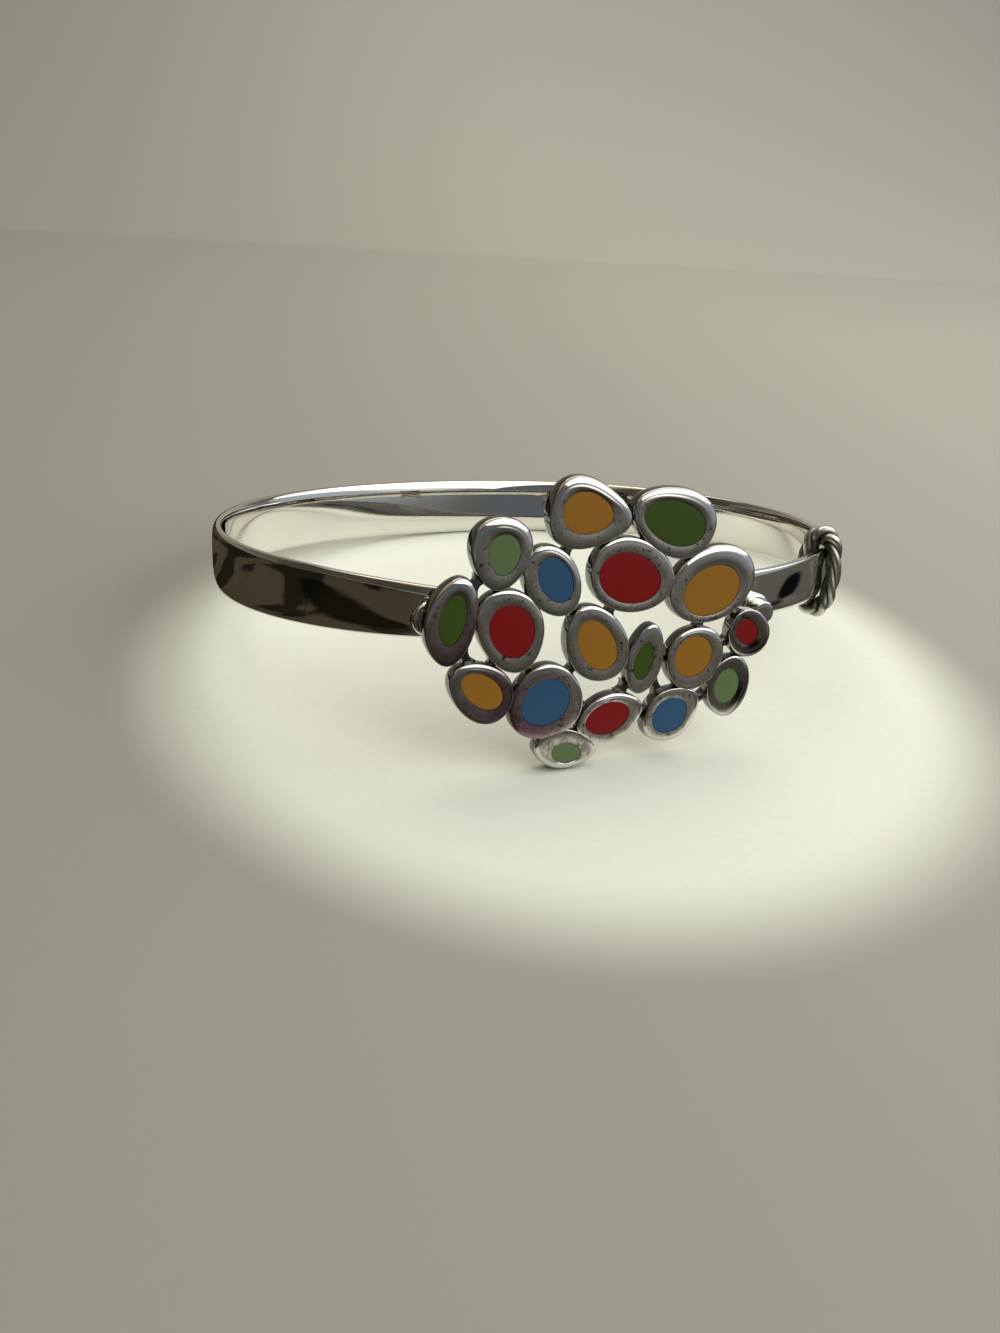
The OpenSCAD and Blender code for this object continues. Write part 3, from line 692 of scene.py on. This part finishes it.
# Floor that runs flat to the back, turns up on a quarter circle and stands as a wall.
def sweepGrid():
    turn, sweep = np.linspace(0, math.pi / 2, stage["curveRows"]), stage["sweep"]
    wallY = stage["wallAt"] + sweep
    flat = np.array([[-stage["reach"], 0], [-0.5, 0], [0, 0]])
    curve = np.stack([wallY - sweep * (1 - np.sin(turn)), sweep * (1 - np.cos(turn))], -1)
    wall = np.array([[wallY, 0.5], [wallY, stage["wallTop"]]])
    path = np.vstack([flat, curve, wall])
    across = np.linspace(-stage["reach"], stage["reach"], 5)[None, :]
    return np.stack([across + 0 * path[:, :1], path[:, :1] + 0 * across, path[:, 1:] + 0 * across], -1)


# Paper round the rest of the set, for views from the sides and the back, with the sweep's quarter circle at
# its foot. Only the camera sees it, and it is paler than the sweep because less light reaches it.
def surroundGrid():
    turn, rise = circle(stage["columns"]), np.linspace(0, math.pi / 2, stage["curveRows"])
    radius = stage["surround"] - stage["sweep"] * np.append(1 - np.sin(rise), 0)[:, None]
    height = np.append(stage["sweep"] * (1 - np.cos(rise)), stage["surroundTop"])[:, None] + stage["lift"]
    return np.stack([radius * np.cos(turn), radius * np.sin(turn), height + 0 * turn], -1)


# A flat ring from the flag's radius out to its outer radius, just over the floor.
def flagGrid():
    turn = circle(stage["columns"])
    radius = np.array([flag["radius"], 0.1, 0.2, flag["outer"]])[:, None]
    return np.stack([radius * np.cos(turn), radius * np.sin(turn), 0 * radius * turn], -1) + flag["middle"]


# A grid as an object of the set, with its faces the other way round.
def stageObject(name, points, closed, material):
    faces = gridFaces(points.shape[0], points.shape[1], 0, False, closed)[:, ::-1].tolist()
    made = meshObject(name, points.reshape(-1, 3), faces, material)
    return made


# Matt background paper with a painted pool of light round the bangle and quiet grey further off, in painted
# shade to the left.
def paperMaterial(name, shadedGrey, litGrey):
    material, tree, place = startMaterial(name)
    grain = addNode(tree, "ShaderNodeTexNoise", {}, {
        "Vector": place, "Scale": 1000 / stage["grainMm"], "Detail": 4.0})
    distance = addNode(tree, "ShaderNodeVectorMath", {"operation": "DISTANCE"}, {
        0: place, 1: stage["middle"]})
    parts = addNode(tree, "ShaderNodeSeparateXYZ", {}, {"Vector": place})
    sideways = addNode(tree, "ShaderNodeMapRange", smoothRange, {
        "Value": parts.outputs["X"], "From Min": stage["sideShadeFrom"], "From Max": stage["sideShadeTo"]})
    grey = addNode(tree, "ShaderNodeMix", colourMix, {
        0: sideways.outputs[0], 6: linear(shadedGrey), 7: linear(litGrey)})
    far = addNode(tree, "ShaderNodeMapRange", smoothRange, {
        "Value": distance.outputs["Value"], "From Min": stage["litPoolRadius"], "From Max": stage["litPoolFadeRadius"]})
    pale = addNode(tree, "ShaderNodeMix", colourMix, {
        0: grain.outputs[0], 6: linear(stage["pale"]), 7: linear(stage["paleGrain"])})
    both = addNode(tree, "ShaderNodeMix", colourMix, {
        0: far.outputs[0], 6: pale.outputs[2], 7: grey.outputs[2]})
    return finishMaterial(material, tree, {"Base Color": both.outputs[2], "Roughness": stage["roughness"]})


# Metres. A spot is (x, y, radius where it is full, radius where it has faded, colour), a painted dark
# reflection in the silver.
flag = {"middle": (0.004, 0.0, 0.0004), "radius": 0.040, "outer": 0.6, "roughness": 0.95,
        "left": "#474236", "front": "#55524c", "right": "#696763", "frontLean": -0.6,
        "frontFrom": -0.04, "frontTo": 0.05, "rightFrom": 0.04, "rightTo": 0.065,
        "blotch": "#080706", "blotchTurns": 3.0, "blotchBend": 0.8, "blotchEdge": (0.48, 0.52),
        "blotchLeft": 0.8, "blotchFront": 0.3, "near": 0.02}
spots = {"left": (-0.088, -0.032, 0.012, 0.02, "#0d0e09"), "under": (-0.074, -0.052, 0.022, 0.032, "#191510"),
         "right": (0.073, -0.025, 0.007, 0.012, "#0a0c10"), "boss": (0.058, -0.034, 0.004, 0.01, "#26282a")}


# A dark matt sheet only seen in the silver's reflections, where it paints dark reflections: warm and dark to
# the left, greyer to the front and right, with black blotches and a few spots. The blotches keep their size
# as seen from the bangle, because their pattern runs on the direction (x, y) / r and on near / r. lean = x +
# frontLean y goes to the front.
def flagMaterial():
    material, tree, place = startMaterial("painted_reflection_sheet")
    parts = addNode(tree, "ShaderNodeSeparateXYZ", {}, {"Vector": place})
    lean = addNode(tree, "ShaderNodeMath", {"operation": "MULTIPLY_ADD"}, {
        0: parts.outputs["Y"], 1: flag["frontLean"], 2: parts.outputs["X"]})
    toFront = addNode(tree, "ShaderNodeMapRange", smoothRange, {
        "Value": lean.outputs[0], "From Min": flag["frontFrom"], "From Max": flag["frontTo"]})
    toRight = addNode(tree, "ShaderNodeMapRange", smoothRange, {
        "Value": parts.outputs["X"], "From Min": flag["rightFrom"], "From Max": flag["rightTo"]})
    front = addNode(tree, "ShaderNodeMix", colourMix, {
        0: toRight.outputs[0], 6: linear(flag["front"]), 7: linear(flag["right"])})
    base = addNode(tree, "ShaderNodeMix", colourMix, {
        0: toFront.outputs[0], 6: linear(flag["left"]), 7: front.outputs[2]})
    outwards = addNode(tree, "ShaderNodeVectorMath", {"operation": "LENGTH"}, {0: place})
    around = addNode(tree, "ShaderNodeVectorMath", {"operation": "NORMALIZE"}, {0: place})
    near = addNode(tree, "ShaderNodeMath", {"operation": "DIVIDE"}, {
        0: flag["near"], 1: outwards.outputs["Value"]})
    depth = addNode(tree, "ShaderNodeCombineXYZ", {}, {"Z": near.outputs[0]})
    seen = addNode(tree, "ShaderNodeVectorMath", {"operation": "ADD"}, {
        0: around.outputs[0], 1: depth.outputs[0]})
    folds = addNode(tree, "ShaderNodeTexNoise", {}, {
        "Vector": seen.outputs[0], "Scale": flag["blotchTurns"], "Detail": 4.0,
        "Distortion": flag["blotchBend"]})
    strength = addNode(tree, "ShaderNodeMapRange", {}, {
        "Value": toFront.outputs[0], "To Min": flag["blotchLeft"], "To Max": flag["blotchFront"]})
    dark = addNode(tree, "ShaderNodeMapRange", {}, {
        "Value": folds.outputs[0], "From Min": flag["blotchEdge"][0], "From Max": flag["blotchEdge"][1],
        "To Max": strength.outputs[0]})
    colour = addNode(tree, "ShaderNodeMix", colourMix, {
        0: dark.outputs[0], 6: base.outputs[2], 7: linear(flag["blotch"])})
    for x, y, full, fade, tone in spots.values():
        distance = addNode(tree, "ShaderNodeVectorMath", {"operation": "DISTANCE"}, {0: place, 1: (x, y, 0)})
        amount = addNode(tree, "ShaderNodeMapRange", smoothRange, {
            "Value": distance.outputs["Value"], "From Min": fade, "From Max": full})
        colour = addNode(tree, "ShaderNodeMix", colourMix, {
            0: amount.outputs[0], 6: colour.outputs[2], 7: linear(tone)})
    return finishMaterial(material, tree, {
        "Base Color": colour.outputs[2], "Roughness": flag["roughness"], "Specular IOR Level": 0.0})


paper = paperMaterial("matt_background_paper", stage["shadedGrey"], stage["litGrey"])
surroundPaper = paperMaterial("matt_surround_paper", stage["surroundTone"], stage["surroundTone"])
stageObject("background_sweep", sweepGrid(), False, paper)
surround = stageObject("background_surround", surroundGrid(), True, surroundPaper)
surround.visible_glossy = surround.visible_diffuse = surround.visible_shadow = False
# A sheet that only reflections see, painting dark reflections in the silver.
reflectionSheet = stageObject("reflection_flag", flagGrid(), True, flagMaterial())
reflectionSheet.visible_camera = reflectionSheet.visible_diffuse = reflectionSheet.visible_shadow = False


# Puts a lamp or the camera at a place, with its own right, up and back directions.
def putAt(made, right, up, back, place):
    made.matrix_world = Matrix([[right[i], up[i], back[i], place[i]] for i in range(3)] + [[0, 0, 0, 1]])
    scene.collection.objects.link(made)


# A soft box: an area light at a place, turned to what it lights. Places in metres.
def areaLight(name, aim, place, size, watts, colour):
    data = bpy.data.lights.new(name, "AREA")
    data.shape, data.size, data.size_y = "RECTANGLE", *size
    data.energy, data.color = watts, linear(colour)[:3]
    lamp = bpy.data.objects.new(name, data)
    back = np.array(place) - np.array(aim)
    back = back / np.linalg.norm(back)
    side = np.cross([0, 0, 1.0], back)
    side = side / np.linalg.norm(side)
    putAt(lamp, side, np.cross(back, side), back, place)


# A place seen from the bangle, distance (sin a cos e, -cos a cos e, sin e): azimuth a is 0 in front and 90 to
# the right, e is the elevation.
def towards(azimuth, elevation, distance):
    a, e = math.radians(azimuth), math.radians(elevation)
    out = distance * math.cos(e)
    return (out * math.sin(a), -out * math.cos(a), distance * math.sin(e))


# name: place, size, watts, colour. Both light a point 10 mm over the floor.
softBoxes = {"soft_box_right": (towards(62, 46, 0.5), (1.0, 0.5), 2.2, "#fffefa"),
             "soft_box_behind": (towards(165, 62, 0.5), (0.4, 0.3), 0.93, "#fff8e6")}
for name, box in softBoxes.items():
    areaLight(name, (0, 0, 0.01), *box)

# A lobe is azimuth, elevation, cosine of the angle where it fades out and where it is full, colour.
room = {"walls": "#4a4438", "shade": "#100f0c", "patchSize": 1.9, "patchBend": 0.6, "patchEdge": (0.42, 0.58),
        "lobes": {
            "front": (25, -5, 0.15, 0.95, "#625f5b"), "above": (60, 90, 0.62, 0.94, "#f2f1ec"),
            "lamp": (-48, 48, 0.86, 0.99, "#b9b183"), "sky": (75, 38, 0.45, 0.95, "#b4bec9"),
            "blueShade": (8, 8, 0.96, 0.99, "#5e646a"), "glow": (40, 36, 0.88, 0.93, "#f6f5ef"),
            "leftWall": (-66, 22, 0.80, 0.95, "#4b463a")}}


# A dim room in dark patches, with a few soft lobes of light. A lobe's share is smoothstep of the cosine
# between the direction looked in and the lobe's own.
def roomWorld():
    world = bpy.data.worlds.new("studio_room")
    world.use_nodes = True
    tree = world.node_tree
    tree.nodes.clear()
    direction = addNode(tree, "ShaderNodeTexCoord", {}, {}).outputs["Generated"]
    patches = addNode(tree, "ShaderNodeTexNoise", {}, {
        "Vector": direction, "Scale": room["patchSize"], "Detail": 3.0, "Distortion": room["patchBend"]})
    share = addNode(tree, "ShaderNodeMapRange", smoothRange, {
        "Value": patches.outputs[0], "From Min": room["patchEdge"][0], "From Max": room["patchEdge"][1]})
    colour = addNode(tree, "ShaderNodeMix", colourMix, {
        0: share.outputs[0], 6: linear(room["shade"]), 7: linear(room["walls"])})
    for azimuth, elevation, fade, full, tone in room["lobes"].values():
        cosine = addNode(tree, "ShaderNodeVectorMath", {"operation": "DOT_PRODUCT"}, {
            0: direction, 1: towards(azimuth, elevation, 1.0)})
        amount = addNode(tree, "ShaderNodeMapRange", smoothRange, {
            "Value": cosine.outputs["Value"], "From Min": fade, "From Max": full})
        colour = addNode(tree, "ShaderNodeMix", colourMix, {
            0: amount.outputs[0], 6: colour.outputs[2], 7: linear(tone)})
    light = addNode(tree, "ShaderNodeBackground", {}, {"Color": colour.outputs[2]})
    addNode(tree, "ShaderNodeOutputWorld", {}, {"Surface": light.outputs[0]})
    return world


scene.world = roomWorld()
print("stage and lights set")

# The camera's place in metres and its right and up directions, as they were found from the band's outline.
view = {"place": (-0.041354, -0.093060, 0.050328), "right": (0.93794, -0.33247, 0.09863),
        "up": (0.08118, 0.48700, 0.86962), "lens": 28.087, "sensor": 36.0, "clip": (0.005, 20.0)}
cameraData = bpy.data.cameras.new("camera")
cameraData.sensor_fit, cameraData.sensor_width, cameraData.lens = "AUTO", view["sensor"], view["lens"]
cameraData.clip_start, cameraData.clip_end = view["clip"]
camera = bpy.data.objects.new("camera", cameraData)
putAt(camera, view["right"], view["up"], np.cross(view["right"], view["up"]), view["place"])
scene.camera = camera
scene.view_settings.view_transform = "Standard"
